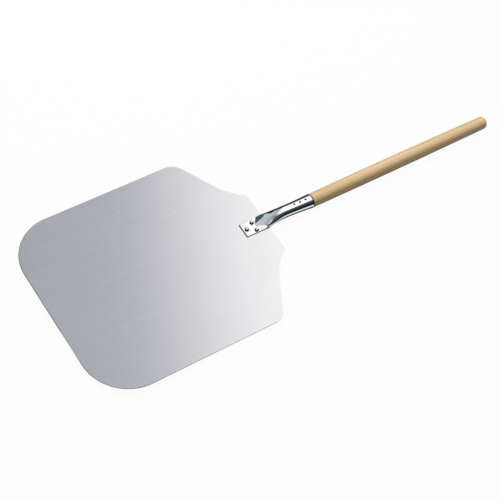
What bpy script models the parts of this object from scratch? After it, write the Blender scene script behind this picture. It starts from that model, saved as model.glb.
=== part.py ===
"""Pizza peel: a thin aluminium blade, a steel ferrule riveted on top of it and a turned wooden handle.

Frame: metres, +X from the blade's front edge to the end of the handle, +Y across the blade, +Z up.
The origin is the bottom centre of the whole peel's box. Distances "from the front" are measured along
+X from the blade's front edge, and heights "above the blade" start at the blade's underside.
"""

import math

import bmesh
import bpy
from mathutils import Matrix, Vector

MM = 0.001

# Driving dimensions.
OVERALL_LENGTH = 914.4 * MM
BLADE_WIDTH = 355.6 * MM
BLADE_LENGTH = 418.0 * MM
SHEET = 1.6 * MM
FRONT_CORNER_RADIUS = 83.0 * MM
SHOULDER_START = 337.2 * MM
SHOULDER_ANGLE = math.radians(60.9)
SHOULDER_RADIUS = 30.0 * MM
NECK_HALF_WIDTH = 62.9 * MM
NECK_ARC_RADIUS = 110.0 * MM
EDGE_BEVEL = 0.35 * MM

TANG_FRONT = 370.7 * MM
TANG_HALF_WIDTH = 14.0 * MM
TANG_OFFSET = 1.1 * MM
TANG_TOP = 4.0 * MM
NOSE_START = 396.0 * MM
BROW = 0.55
NARROWING_START = 410.0 * MM
ROUNDING_START = 394.0 * MM
ROUNDING_END = 430.0 * MM
PLATE_EXPONENT = 8.0
# Each flank of the pressed nose: where its fold starts, how fast the fold spreads, how steeply it rises.
NEAR_FLANK = (394.2 * MM, 1.0, 0.6)
FAR_FLANK = (393.7 * MM, 1.25, 0.24)
DRAIN_PLACE = 418.0 * MM
DRAIN_RADIUS = 0.75 * MM
DRAIN_FLOOR = 0.8 * MM
WAIST = 455.0 * MM
WAIST_RADIUS = 11.05 * MM
WAIST_HEIGHT = 4.6 * MM
FERRULE_END = 512.5 * MM
MOUTH_RADIUS = 13.1 * MM
MOUTH_HEIGHT = 2.8 * MM
WALL = 1.0 * MM
SOCKET_END = 448.0 * MM
SOCKET_TIP = 440.0 * MM
SOCKET_TIP_RADIUS = 7.0 * MM

HANDLE_START_RADIUS = 12.7 * MM
HANDLE_END_RADIUS = 11.8 * MM
HANDLE_BELLY = 0.8 * MM
HANDLE_DOME = 8.0 * MM
TENON_END = 450.0 * MM
TENON_CHAMFER = 1.5 * MM
DOME_STEPS = 6
DOME_ANGLE = math.radians(78.0)
DOME_TIP_RADIUS = 1.0 * MM

RIVET_PLACES = {
    "rivet_front": (377.2 * MM, 0.0),
    "rivet_rear_left": (392.4 * MM, 8.2 * MM),
    "rivet_rear_right": (392.4 * MM, -8.2 * MM),
}
RIVET_RADIUS = 2.0 * MM
RIVET_HEAD_RADIUS = 3.9 * MM
RIVET_HEAD_HEIGHT = 2.1 * MM
RIVET_TAIL_RADIUS = 3.4 * MM
RIVET_TAIL_DEPTH = 1.1 * MM

NAIL_PLACES = {"nail_front": 475.3 * MM, "nail_middle": 487.0 * MM, "nail_rear": 498.7 * MM}
NAIL_RADIUS = 0.8 * MM
NAIL_HEAD_RADIUS = 2.0 * MM
NAIL_HEAD_HEIGHT = 0.9 * MM
NAIL_LENGTH = 11.0 * MM

CLEARANCE = 0.3 * MM
CUTTER_EXTRA = 0.5 * MM
CUTTER_HEIGHT = 8.0 * MM
RING_POINTS = 48
TURNED_POINTS = 24
SMOOTH_ANGLE = math.radians(35.0)

# The lowest point of the peel is the ferrule's mouth, and the box is centred on the overall length.
UNDERSIDE = MOUTH_RADIUS - MOUTH_HEIGHT
FRONT_EDGE = -OVERALL_LENGTH / 2

ALUMINIUM = ("blade_aluminium", (0.72, 0.74, 0.78), 1.0, 0.35)
CHROME = ("ferrule_chrome", (0.80, 0.81, 0.82), 1.0, 0.08)
STEEL = ("fastener_steel", (0.62, 0.61, 0.59), 1.0, 0.18)
WOOD = ("handle_wood", (0.78, 0.58, 0.36), 0.0, 0.45)


def make_material(name, colour, metallic, roughness):
    """A plain Principled material."""
    material = bpy.data.materials.get(name) or bpy.data.materials.new(name)
    material.use_nodes = True
    shader = material.node_tree.nodes["Principled BSDF"]
    shader.inputs["Base Color"].default_value = (*colour, 1.0)
    shader.inputs["Metallic"].default_value = metallic
    shader.inputs["Roughness"].default_value = roughness
    return material


def make_object(name, mesh_builder, finish, location):
    """One named object, shaded smooth with sharp edges kept."""
    mesh = bpy.data.meshes.new(name)
    mesh_builder.normal_update()
    bmesh.ops.recalc_face_normals(mesh_builder, faces=mesh_builder.faces)
    mesh_builder.to_mesh(mesh)
    mesh_builder.free()
    mesh.shade_smooth()
    mesh.set_sharp_from_angle(angle=SMOOTH_ANGLE)
    mesh.materials.append(make_material(*finish))
    part = bpy.data.objects.new(name, mesh)
    part.location = location
    bpy.context.scene.collection.objects.link(part)
    return part


def cut(part, cutter):
    """Subtracts the cutter, which stays in the file as a hidden guide."""
    cutter.hide_render = True
    cutter.display_type = "WIRE"
    modifier = part.modifiers.new(cutter.name, "BOOLEAN")
    modifier.operation = "DIFFERENCE"
    modifier.solver = "EXACT"
    modifier.object = cutter


def smooth_step(start, end, value):
    """0 before start, 1 after end, with an S curve between them."""
    share = min(max((value - start) / (end - start), 0.0), 1.0)
    return share * share * (3.0 - 2.0 * share)


def arc(centre, radius, start, end, steps):
    """Points on an arc, both ends included."""
    angles = [start + (end - start) * i / steps for i in range(steps + 1)]
    return [centre + radius * Vector((math.cos(a), math.sin(a))) for a in angles]


def blade_half_outline():
    """The +Y half of the blade's outline, from the front edge to the end of the neck."""
    side = BLADE_WIDTH / 2
    right_angle = math.pi / 2
    front = arc(Vector((FRONT_CORNER_RADIUS, side - FRONT_CORNER_RADIUS)), FRONT_CORNER_RADIUS,
                math.pi, right_angle, 18)
    tangent = SHOULDER_RADIUS * math.tan(SHOULDER_ANGLE / 2)
    shoulder = arc(Vector((SHOULDER_START - tangent, side - SHOULDER_RADIUS)), SHOULDER_RADIUS,
                   right_angle, right_angle - SHOULDER_ANGLE, 8)
    # The hollow curve runs tangent from the straight shoulder to the corner of the neck.
    along = Vector((math.cos(SHOULDER_ANGLE), -math.sin(SHOULDER_ANGLE)))
    outward = Vector((math.sin(SHOULDER_ANGLE), math.cos(SHOULDER_ANGLE)))
    apex = Vector((SHOULDER_START, side))
    corner = Vector((BLADE_LENGTH, NECK_HALF_WIDTH))
    reach = corner - apex - outward * NECK_ARC_RADIUS
    distance = reach.dot(along) - math.sqrt(NECK_ARC_RADIUS ** 2 - reach.dot(outward) ** 2)
    centre = apex + along * distance + outward * NECK_ARC_RADIUS
    start = apex + along * distance - centre
    end = corner - centre
    start_angle = math.atan2(start.y, start.x)
    turn = start.angle_signed(end)
    hollow = arc(centre, NECK_ARC_RADIUS, start_angle, start_angle - turn, 10)
    return front + shoulder + hollow


def build_blade():
    """The sheet: outline, bevelled edges and countersunk rivet holes."""
    half = blade_half_outline()
    outline = half + [Vector((p.x, -p.y)) for p in reversed(half)]
    builder = bmesh.new()
    rim = [builder.verts.new((p.x, p.y, 0.0)) for p in outline]
    plate = bmesh.ops.extrude_face_region(builder, geom=[builder.faces.new(rim)])
    raised = [item for item in plate["geom"] if isinstance(item, bmesh.types.BMVert)]
    bmesh.ops.translate(builder, verts=raised, vec=(0.0, 0.0, SHEET))
    rims = [edge for edge in builder.edges if abs(edge.verts[0].co.z - edge.verts[1].co.z) < SHEET / 2]
    bmesh.ops.bevel(builder, geom=rims, offset=EDGE_BEVEL, segments=1, affect="EDGES")
    blade = make_object("blade", builder, ALUMINIUM, (FRONT_EDGE, 0.0, UNDERSIDE))
    slope = (RIVET_TAIL_RADIUS - RIVET_RADIUS) / RIVET_TAIL_DEPTH
    hole = RIVET_RADIUS + CLEARANCE
    profile = [
        (0.0, -CUTTER_EXTRA),
        (RIVET_TAIL_RADIUS + CLEARANCE + slope * CUTTER_EXTRA, -CUTTER_EXTRA),
        (hole, RIVET_TAIL_DEPTH),
        (hole, SHEET + CUTTER_EXTRA),
        (0.0, SHEET + CUTTER_EXTRA),
    ]
    for name, (x, y) in RIVET_PLACES.items():
        cutter = make_object(f"cut_blade_{name}", turned(profile), ALUMINIUM, (FRONT_EDGE + x, y, UNDERSIDE))
        cut(blade, cutter)


def turned(profile):
    """A solid of revolution about Z from (radius, height) points that start and end on the axis."""
    builder = bmesh.new()
    start = Matrix.Rotation(math.pi / TURNED_POINTS, 3, "Z")
    verts = [builder.verts.new(start @ Vector((radius, 0.0, height))) for radius, height in profile]
    edges = [builder.edges.new(pair) for pair in zip(verts, verts[1:])]
    bmesh.ops.spin(builder, geom=verts + edges, cent=(0, 0, 0), axis=(0, 0, 1), dvec=(0, 0, 0),
                   angle=math.tau, steps=TURNED_POINTS, use_merge=True)
    bmesh.ops.remove_doubles(builder, verts=builder.verts, dist=0.01 * MM)
    return builder


def tube_radius(x):
    """Outer radius of the ferrule's round part, which flares towards its mouth."""
    share = max((x - WAIST) / (FERRULE_END - WAIST), 0.0)
    return WAIST_RADIUS + (MOUTH_RADIUS - WAIST_RADIUS) * share ** 2


def tube_share(x):
    """0 up to the waist, 1 at the ferrule's mouth and beyond it."""
    return min(max((x - WAIST) / (FERRULE_END - WAIST), 0.0), 1.0)


def tube_height(x):
    """Height of the round part's axis above the blade, which sinks a little towards the mouth."""
    return WAIST_HEIGHT + (MOUTH_HEIGHT - WAIST_HEIGHT) * tube_share(x)


def tube_side(x):
    """How far the axis stands to +Y: the tang is riveted on a little off the middle."""
    return TANG_OFFSET * (1.0 - tube_share(x))


def ramp_height(x):
    """Height of the ferrule's top line: flat tang, straight ramp, rounded brow, round tube."""
    share = min(max((x - NOSE_START) / (WAIST - NOSE_START), 0.0), 1.0)
    eased = max(share - BROW, 0.0)
    climb = 2.0 / (1.0 + BROW) * (share - eased ** 2 / (2.0 * (1.0 - BROW)))
    return TANG_TOP + (tube_height(x) + tube_radius(x) - TANG_TOP) * climb


def ferrule_ring(x):
    """Points round the ferrule: a flat plate at the tang, a pressed nose behind it, then a round tube."""
    seat = SHEET + CLEARANCE
    top = ramp_height(x)
    bottom = seat + (tube_height(x) - tube_radius(x) - seat) * smooth_step(BLADE_LENGTH, WAIST, x)
    widening = smooth_step(NARROWING_START, WAIST, x)
    half_width = TANG_HALF_WIDTH + (tube_radius(x) - TANG_HALF_WIDTH) * widening
    rounding = smooth_step(ROUNDING_START, ROUNDING_END, x) ** 0.5
    exponent = PLATE_EXPONENT + (2.0 - PLATE_EXPONENT) * rounding
    middle = (seat + TANG_TOP) / 2
    middle += (tube_height(x) - middle) * smooth_step(NOSE_START, WAIST, x)
    ring = []
    for i in range(RING_POINTS):
        angle = math.tau * i / RING_POINTS
        across = math.sin(angle)
        upward = math.cos(angle)
        bulge = max(1.0 - abs(across) ** exponent, 0.0) ** (1.0 / exponent)
        y = half_width * across
        reach = top - middle if upward > 0 else middle - bottom
        z = middle + math.copysign(reach * bulge, upward)
        start, spread, rise = FAR_FLANK if y > 0 else NEAR_FLANK
        flank = TANG_TOP + max(rise * (spread * (x - start) - abs(y)), 0.0)
        if x < WAIST:
            z = min(z, flank)
        ring.append(Vector((x, y + tube_side(x), z)))
    return ring


def round_ring(x, radius):
    """Points on a circle round the ferrule's and the handle's common axis."""
    angles = [math.tau * i / RING_POINTS for i in range(RING_POINTS)]
    side = tube_side(x)
    height = tube_height(x)
    return [Vector((x, side + radius * math.sin(a), height + radius * math.cos(a))) for a in angles]


def stations(start, end, count):
    """Evenly spaced places along the peel, the end left out."""
    return [start + (end - start) * i / count for i in range(count)]


def loft(rings):
    """A closed skin through rings of equal point counts, capped at both ends."""
    builder = bmesh.new()
    loops = [[builder.verts.new(point) for point in ring] for ring in rings]
    for near, far in zip(loops, loops[1:]):
        for i in range(len(near)):
            j = (i + 1) % len(near)
            builder.faces.new((near[i], near[j], far[j], far[i]))
    builder.faces.new(loops[0])
    builder.faces.new(loops[-1])
    return builder


def build_ferrule():
    """Tang, pressed nose and flared tube in one skin, with a blind socket for the handle."""
    outside = stations(TANG_FRONT, NOSE_START, 3) + stations(NOSE_START, BLADE_LENGTH, 11)
    outside += stations(BLADE_LENGTH, WAIST, 12) + stations(WAIST, FERRULE_END, 8) + [FERRULE_END]
    inside = [FERRULE_END] + stations(FERRULE_END, SOCKET_END, 6)[1:] + [SOCKET_END]
    rings = [ferrule_ring(x) for x in outside]
    rings += [round_ring(x, tube_radius(x) - WALL) for x in inside]
    rings += [round_ring(SOCKET_TIP, SOCKET_TIP_RADIUS)]
    ferrule = make_object("ferrule", loft(rings), CHROME, (FRONT_EDGE, 0.0, UNDERSIDE))
    hole = RIVET_RADIUS + CLEARANCE
    for name, (x, y) in RIVET_PLACES.items():
        cut(ferrule, post(f"cut_tang_{name}", hole, Vector((x, y, 0.0))))
    drain = Vector((DRAIN_PLACE, tube_side(DRAIN_PLACE), TANG_TOP + DRAIN_FLOOR))
    cut(ferrule, post("cut_drain", DRAIN_RADIUS, drain))
    for name, x in NAIL_PLACES.items():
        cut(ferrule, nail_cutter(f"cut_ferrule_{name}", x))


def post(name, radius, foot):
    """A round upright cutter that stands on its foot, given from the front and above the blade."""
    profile = [(0.0, 0.0), (radius, 0.0), (radius, CUTTER_HEIGHT), (0.0, CUTTER_HEIGHT)]
    return make_object(name, turned(profile), CHROME, foot + Vector((FRONT_EDGE, 0.0, UNDERSIDE)))


def nail_cutter(name, x):
    """A round hole for one nail, through the ferrule's top wall and into the wood."""
    hole = NAIL_RADIUS + CLEARANCE
    depth = NAIL_LENGTH + CLEARANCE
    above = CUTTER_HEIGHT / 4
    profile = [(0.0, -depth), (hole, -depth), (hole, above), (0.0, above)]
    return make_object(name, turned(profile), WOOD, nail_seat(x))


def nail_seat(x):
    """Place on the ferrule's top line where a nail goes in."""
    return Vector((FRONT_EDGE + x, tube_side(x), UNDERSIDE + tube_height(x) + tube_radius(x)))


def handle_radius(x):
    """Radius of the handle outside the ferrule, slightly fuller at its middle."""
    share = (x - FERRULE_END) / (OVERALL_LENGTH - FERRULE_END)
    taper = HANDLE_START_RADIUS + (HANDLE_END_RADIUS - HANDLE_START_RADIUS) * share
    return taper + HANDLE_BELLY * 4 * share * (1 - share)


def build_handle():
    """Turned wooden handle: shaved tenon inside the socket, long round grip and domed end."""
    rings = [round_ring(TENON_END, tube_radius(TENON_END) - WALL - CLEARANCE - TENON_CHAMFER)]
    shoulder = FERRULE_END + CLEARANCE
    for x in stations(TENON_END + TENON_CHAMFER, shoulder, 6) + [shoulder]:
        rings.append(round_ring(x, tube_radius(x) - WALL - CLEARANCE))
    dome_start = OVERALL_LENGTH - HANDLE_DOME
    for x in stations(shoulder, dome_start, 10):
        rings.append(round_ring(x, handle_radius(x)))
    dome_radius = handle_radius(dome_start)
    for i in range(DOME_STEPS + 1):
        angle = DOME_ANGLE * i / DOME_STEPS
        rings.append(round_ring(dome_start + HANDLE_DOME * math.sin(angle), dome_radius * math.cos(angle)))
    rings.append(round_ring(OVERALL_LENGTH, DOME_TIP_RADIUS))
    handle = make_object("handle", loft(rings), WOOD, (FRONT_EDGE, 0.0, UNDERSIDE))
    for name, x in NAIL_PLACES.items():
        cut(handle, nail_cutter(f"cut_handle_{name}", x))


def dome_profile(radius, base, height, steps):
    """(radius, height) points of a low dome, from its rim to its top on the axis."""
    angles = [math.pi / 2 * i / steps for i in range(steps + 1)]
    points = [(radius * math.cos(a), base + height * math.sin(a)) for a in angles]
    return points[:-1] + [(0.0, base + height)]


def build_rivets():
    """Round-head rivets with tails hammered flush into the blade's underside."""
    under_head = TANG_TOP + CLEARANCE
    profile = [
        (0.0, 0.0),
        (RIVET_TAIL_RADIUS, 0.0),
        (RIVET_RADIUS, RIVET_TAIL_DEPTH),
        (RIVET_RADIUS, under_head),
    ]
    profile += dome_profile(RIVET_HEAD_RADIUS, under_head, RIVET_HEAD_HEIGHT, 5)
    for name, (x, y) in RIVET_PLACES.items():
        make_object(name, turned(profile), STEEL, (FRONT_EDGE + x, y, UNDERSIDE))


def build_nails():
    """Small round-head nails that pin the handle in the ferrule."""
    profile = [(0.0, -NAIL_LENGTH), (NAIL_RADIUS, -NAIL_LENGTH + NAIL_RADIUS), (NAIL_RADIUS, CLEARANCE)]
    profile += dome_profile(NAIL_HEAD_RADIUS, CLEARANCE, NAIL_HEAD_HEIGHT, 4)
    for name, x in NAIL_PLACES.items():
        make_object(name, turned(profile), STEEL, nail_seat(x))


def main():
    """Clears the file and builds the nine solids."""
    for old in list(bpy.data.objects):
        bpy.data.objects.remove(old)
    build_blade()
    build_ferrule()
    build_handle()
    build_rivets()
    build_nails()


main()
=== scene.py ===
"""Looks of a pizza peel: rolled aluminium blade, chromed ferrule riveted on it and turned wooden handle.

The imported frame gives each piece's place. Lengths are metres, +X runs from the blade's front edge to the
end of the handle, +Y runs across the blade and +Z points up, out of the face that carries the pizza.
"""

import logging
import math
from dataclasses import dataclass
from enum import Enum
from typing import Sequence

import bmesh
import bpy
from mathutils import Matrix, Vector, noise


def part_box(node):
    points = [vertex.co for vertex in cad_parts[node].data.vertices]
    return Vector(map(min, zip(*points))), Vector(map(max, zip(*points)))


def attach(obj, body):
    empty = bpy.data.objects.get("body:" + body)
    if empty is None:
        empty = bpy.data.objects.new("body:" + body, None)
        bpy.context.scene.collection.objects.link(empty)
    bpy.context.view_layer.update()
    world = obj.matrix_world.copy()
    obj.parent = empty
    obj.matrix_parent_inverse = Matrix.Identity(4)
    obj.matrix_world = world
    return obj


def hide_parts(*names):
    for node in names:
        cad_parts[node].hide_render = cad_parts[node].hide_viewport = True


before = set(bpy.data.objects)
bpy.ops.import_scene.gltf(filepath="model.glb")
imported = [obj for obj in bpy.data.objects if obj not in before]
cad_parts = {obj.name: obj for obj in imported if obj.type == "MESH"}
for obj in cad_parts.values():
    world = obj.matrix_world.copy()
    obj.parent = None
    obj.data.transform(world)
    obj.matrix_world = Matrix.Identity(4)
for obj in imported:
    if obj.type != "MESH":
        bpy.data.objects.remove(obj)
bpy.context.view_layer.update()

LOG = logging.getLogger("pizza_peel")
MM = 0.001
BODY = "root"


# ---------------------------------------------------------------- mesh work


class Edge(Enum):
    """How sharply faces may meet before their edge shows as a crease, in degrees."""

    SOFT = 60.0
    PRESSED = 32.0
    CUT = 24.0


def blend_step(start: float, end: float, value: float) -> float:
    """S curve from 0 to 1.

    Args:
        start: Value at which the curve leaves 0.
        end: Value at which it reaches 1.
        value: Where to read it.

    Returns:
        The share between 0 and 1.
    """
    share = min(max((value - start) / (end - start), 0.0), 1.0)
    return share * share * (3.0 - 2.0 * share)


def soft_min(a: float, b: float, radius: float) -> float:
    """Smaller of two heights, with the corner between them rounded.

    Args:
        a: First height.
        b: Second height.
        radius: How far from the corner the rounding reaches.

    Returns:
        The rounded minimum.
    """
    share = max(radius - abs(a - b), 0.0) / radius
    return min(a, b) - share * share * radius / 4.0


def soft_max(a: float, b: float, radius: float) -> float:
    """Larger of two heights, with the corner between them filleted.

    Args:
        a: First height.
        b: Second height.
        radius: How far from the corner the fillet reaches.

    Returns:
        The rounded maximum.
    """
    return -soft_min(-a, -b, radius)


def evenly(start: float, end: float, steps: int) -> list[float]:
    """Evenly spaced values from start to end, both included."""
    return [start + (end - start) * i / steps for i in range(steps + 1)]


def arc(centre: Vector, radius: float, start: float, end: float, steps: int) -> list[Vector]:
    """Points on an arc in the XY plane.

    Args:
        centre: Centre of the circle.
        radius: Its radius.
        start: First angle.
        end: Last angle.
        steps: Number of equal steps between them.

    Returns:
        The points, both ends included.
    """
    angles = evenly(start, end, steps)
    return [centre + radius * Vector((math.cos(a), math.sin(a))) for a in angles]


def dome(radius: float, height: float, base: float, steps: int) -> list[tuple[float, float]]:
    """Profile of a domed head.

    Args:
        radius: Radius at its rim.
        height: Height of the dome.
        base: Height at which it starts.
        steps: Number of steps from the rim to the top.

    Returns:
        (radius, height) points from just above the rim to the top.
    """
    angles = evenly(0.0, math.pi / 2, steps)[1:-1]
    rise = [(radius * math.cos(a), base + height * math.sin(a)) for a in angles]
    return rise + [(0.0, base + height)]


def loft(rings: Sequence[Sequence[Vector]]) -> bmesh.types.BMesh:
    """Closed skin through rings that have the same number of points.

    Args:
        rings: The rings, in order; the first and the last are capped.

    Returns:
        The mesh being built.
    """
    builder = bmesh.new()
    loops = [[builder.verts.new(point) for point in ring] for ring in rings]
    for near, far in zip(loops, loops[1:]):
        for i, corner in enumerate(near):
            j = (i + 1) % len(near)
            builder.faces.new((corner, near[j], far[j], far[i]))
    builder.faces.new(loops[0])
    builder.faces.new(loops[-1])
    return builder


def turn(profile: Sequence[tuple[float, float]], steps: int) -> bmesh.types.BMesh:
    """Solid of revolution about Z.

    Args:
        profile: (radius, height) points that start and end on the axis.
        steps: Number of facets round the axis.

    Returns:
        The mesh being built.
    """
    rings = []
    for radius, height in profile[1:-1]:
        angles = [math.tau * (i + 0.5) / steps for i in range(steps)]
        rings.append([Vector((radius * math.cos(a), radius * math.sin(a), height)) for a in angles])
    builder = loft(rings)
    for ring, height in ((rings[0], profile[0][1]), (rings[-1], profile[-1][1])):
        caps = [face for face in builder.faces if len(face.verts) == steps]
        cap = min(caps, key=lambda face: abs(face.verts[0].co.z - ring[0].z))
        middle = bmesh.ops.poke(builder, faces=[cap])["verts"][0]
        middle.co.z = height
    return builder


def make_piece(
    name: str, builder: bmesh.types.BMesh, edge: Edge, place: Vector = Vector()
) -> bpy.types.Object:
    """Turns a finished bmesh into a named object, shaded smooth except at its creases.

    Args:
        name: Name of the object.
        builder: The mesh; it is freed.
        edge: How sharply its faces may meet before an edge is a crease.
        place: Where its own origin stands.

    Returns:
        The new object, linked to the scene.
    """
    bmesh.ops.recalc_face_normals(builder, faces=builder.faces)
    mesh = bpy.data.meshes.new(name)
    builder.to_mesh(mesh)
    builder.free()
    mesh.shade_smooth()
    mesh.set_sharp_from_angle(angle=math.radians(edge.value))
    piece = bpy.data.objects.new(name, mesh)
    piece.location = place
    bpy.context.scene.collection.objects.link(piece)
    return piece


def cut_away(piece: bpy.types.Object, cutters: Sequence[bpy.types.Object]) -> None:
    """Subtracts the cutters from a piece and removes them.

    Args:
        piece: The piece to cut.
        cutters: Closed objects that are used up.
    """
    for cutter in cutters:
        modifier = piece.modifiers.new(cutter.name, "BOOLEAN")
        modifier.operation = "DIFFERENCE"
        modifier.solver = "EXACT"
        modifier.object = cutter
    bpy.context.view_layer.update()
    graph = bpy.context.evaluated_depsgraph_get()
    mesh = bpy.data.meshes.new_from_object(piece.evaluated_get(graph))
    piece.modifiers.clear()
    piece.data = mesh
    mesh.set_sharp_from_angle(angle=math.radians(Edge.PRESSED.value))
    for cutter in cutters:
        bpy.data.objects.remove(cutter)


# ---------------------------------------------------------------- shader work


Value = float | tuple | bpy.types.NodeSocket
Inputs = dict[str | int, Value]


class Graph:
    """A node tree being written: adds nodes, sets their inputs and joins them."""

    def __init__(self, tree: bpy.types.NodeTree) -> None:
        """Starts writing in a tree, keeping what is there."""
        self.tree = tree

    def feed(self, node: bpy.types.Node, inputs: Inputs) -> None:
        """Sets a node's inputs.

        Args:
            node: The node.
            inputs: Input name or number to a constant or to the socket that feeds it.
        """
        for key, value in inputs.items():
            if isinstance(value, bpy.types.NodeSocket):
                self.tree.links.new(value, node.inputs[key])
            else:
                node.inputs[key].default_value = value

    def node(self, kind: str, inputs: Inputs | None = None, **settings: object) -> bpy.types.Node:
        """Adds one node.

        Args:
            kind: Blender's name for the node type.
            inputs: Input name or number to a constant or to the socket that feeds it.
            **settings: Properties of the node itself.

        Returns:
            The new node.
        """
        made = self.tree.nodes.new(kind)
        for name, value in settings.items():
            setattr(made, name, value)
        self.feed(made, inputs or {})
        return made

    def math(self, operation: str, *values: Value) -> bpy.types.NodeSocket:
        """Result of a Math node on the given values."""
        return self.node("ShaderNodeMath", dict(enumerate(values)), operation=operation).outputs[0]

    def times(self, a: Value, b: Value) -> bpy.types.NodeSocket:
        """Product of two values."""
        return self.math("MULTIPLY", a, b)

    def plus(self, a: Value, b: Value) -> bpy.types.NodeSocket:
        """Sum of two values."""
        return self.math("ADD", a, b)

    def minus(self, a: Value, b: Value) -> bpy.types.NodeSocket:
        """First value less the second."""
        return self.math("SUBTRACT", a, b)

    def larger(self, a: Value, b: Value) -> bpy.types.NodeSocket:
        """Larger of two values."""
        return self.math("MAXIMUM", a, b)

    def share(self, value: Value) -> bpy.types.NodeSocket:
        """A value held between 0 and 1."""
        return self.math("MINIMUM", self.larger(value, 0.0), 1.0)

    def vector(self, operation: str, *values: Value) -> bpy.types.NodeSocket:
        """Vector result of a Vector Math node."""
        return self.node("ShaderNodeVectorMath", dict(enumerate(values)), operation=operation).outputs[0]

    def dot(self, a: Value, b: Value) -> bpy.types.NodeSocket:
        """Dot product of two vectors."""
        return self.node("ShaderNodeVectorMath", {0: a, 1: b}, operation="DOT_PRODUCT").outputs["Value"]

    def place(self) -> bpy.types.NodeSocket:
        """Object coordinates."""
        return self.node("ShaderNodeTexCoord").outputs["Object"]

    def parts(self, vector: Value) -> bpy.types.NodeOutputs:
        """X, Y and Z of a vector."""
        return self.node("ShaderNodeSeparateXYZ", {0: vector}).outputs

    def cloud(self, place: Value, **inputs: Value) -> bpy.types.NodeOutputs:
        """Noise read at a place, with the Noise node's own inputs."""
        return self.node("ShaderNodeTexNoise", {"Vector": place, **inputs}).outputs

    def spread(
        self,
        value: Value,
        low: float,
        high: float,
        to_low: float = 0.0,
        to_high: float = 1.0,
        shape: str = "SMOOTHSTEP",
    ) -> bpy.types.NodeSocket:
        """Maps a value from one range to another.

        Args:
            value: The socket to read.
            low: Start of its range.
            high: End of its range.
            to_low: Result at the start.
            to_high: Result at the end.
            shape: Interpolation of the Map Range node.

        Returns:
            The mapped value, held inside the new range.
        """
        inputs = {"Value": value, "From Min": low, "From Max": high, "To Min": to_low, "To Max": to_high}
        return self.node("ShaderNodeMapRange", inputs, interpolation_type=shape).outputs["Result"]

    def mix(self, factor: Value, a: Value, b: Value) -> bpy.types.NodeSocket:
        """Mixes two colours.

        Args:
            factor: Share of the second colour.
            a: First colour.
            b: Second colour.

        Returns:
            The mixed colour.
        """
        made = self.tree.nodes.new("ShaderNodeMix")
        made.data_type = "RGBA"
        for socket, value in ((made.inputs["Factor"], factor), (made.inputs[6], a), (made.inputs[7], b)):
            if isinstance(value, bpy.types.NodeSocket):
                self.tree.links.new(value, socket)
            elif socket.type == "RGBA":
                socket.default_value = (*value[:3], 1.0)
            else:
                socket.default_value = value
        return made.outputs[2]

    def stretched(self, along: float, across: float) -> bpy.types.NodeSocket:
        """Object coordinates scaled along the peel and across it, in cells per metre."""
        return self.vector("MULTIPLY", self.place(), (along, across, across))

    def ramp(self, value: Value, stops: Sequence[tuple]) -> bpy.types.NodeSocket:
        """Colour that changes over a value.

        Args:
            value: The value, 0 to 1.
            stops: (position, colour) pairs in order.

        Returns:
            The colour.
        """
        node = self.node("ShaderNodeValToRGB", {"Fac": value})
        elements = node.color_ramp.elements
        while len(elements) < len(stops):
            elements.new(0.5)
        for element, (position, colour) in zip(elements, stops):
            element.position = position
            element.color = (*colour, 1.0)
        return node.outputs["Color"]


@dataclass(frozen=True)
class Port:
    """One socket of a shader group: its name, kind and starting value."""

    name: str
    kind: str = "NodeSocketFloat"
    value: float = 0.0


class Effect:
    """A shader node group that is built once and placed in each material with its own values."""

    name = "effect"
    takes: tuple[Port, ...] = ()
    gives: tuple[Port, ...] = ()

    @classmethod
    def tree(cls) -> bpy.types.ShaderNodeTree:
        """The group's tree, written the first time it is asked for."""
        known = bpy.data.node_groups.get(cls.name)
        if known:
            return known
        tree = bpy.data.node_groups.new(cls.name, "ShaderNodeTree")
        for port in cls.takes:
            socket = tree.interface.new_socket(port.name, in_out="INPUT", socket_type=port.kind)
            if port.kind == "NodeSocketFloat":
                socket.default_value = port.value
        for port in cls.gives:
            tree.interface.new_socket(port.name, in_out="OUTPUT", socket_type=port.kind)
        graph = Graph(tree)
        start = graph.node("NodeGroupInput")
        results = cls.write(graph, start.outputs)
        graph.node("NodeGroupOutput", results)
        return tree

    @classmethod
    def write(cls, graph: Graph, given: bpy.types.NodeOutputs) -> dict[str, bpy.types.NodeSocket]:
        """Writes the group's nodes.

        Args:
            graph: The tree to write in.
            given: The group's inputs.

        Returns:
            Output name to the socket that feeds it.
        """
        raise NotImplementedError

    @classmethod
    def place(cls, graph: Graph, **values: Value) -> bpy.types.NodeOutputs:
        """Puts the group in a material.

        Args:
            graph: The material's tree.
            **values: Input name, with underscores for spaces, to its value or socket.

        Returns:
            The group node's outputs.
        """
        inputs = {name.replace("_", " "): value for name, value in values.items()}
        node = graph.tree.nodes.new("ShaderNodeGroup")
        node.node_tree = cls.tree()
        graph.feed(node, inputs)
        return node.outputs


class RolledLines(Effect):
    """Fine straight lines along the peel, as rolling or drawing leaves in metal and growth in wood."""

    name = "rolled_lines"
    takes = (
        Port("Along", value=3.0),
        Port("Across", value=900.0),
        Port("Detail", value=4.0),
    )
    gives = (Port("Lines"), Port("Bands"))

    @classmethod
    def write(cls, graph: Graph, given: bpy.types.NodeOutputs) -> dict[str, bpy.types.NodeSocket]:
        """Two noises stretched along X, a fine one and one six times as broad."""
        place = graph.place()
        scale = graph.node(
            "ShaderNodeCombineXYZ", {"X": given["Along"], "Y": given["Across"], "Z": given["Across"]}
        ).outputs[0]
        stretched = graph.vector("MULTIPLY", place, scale)
        fine = graph.cloud(stretched, Scale=1.0, Detail=given["Detail"])
        broad_place = graph.vector("MULTIPLY", stretched, (0.4, 0.16, 0.16))
        broad = graph.cloud(broad_place, Scale=1.0, Detail=2.0)
        return {"Lines": fine["Fac"], "Bands": broad["Fac"]}


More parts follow.
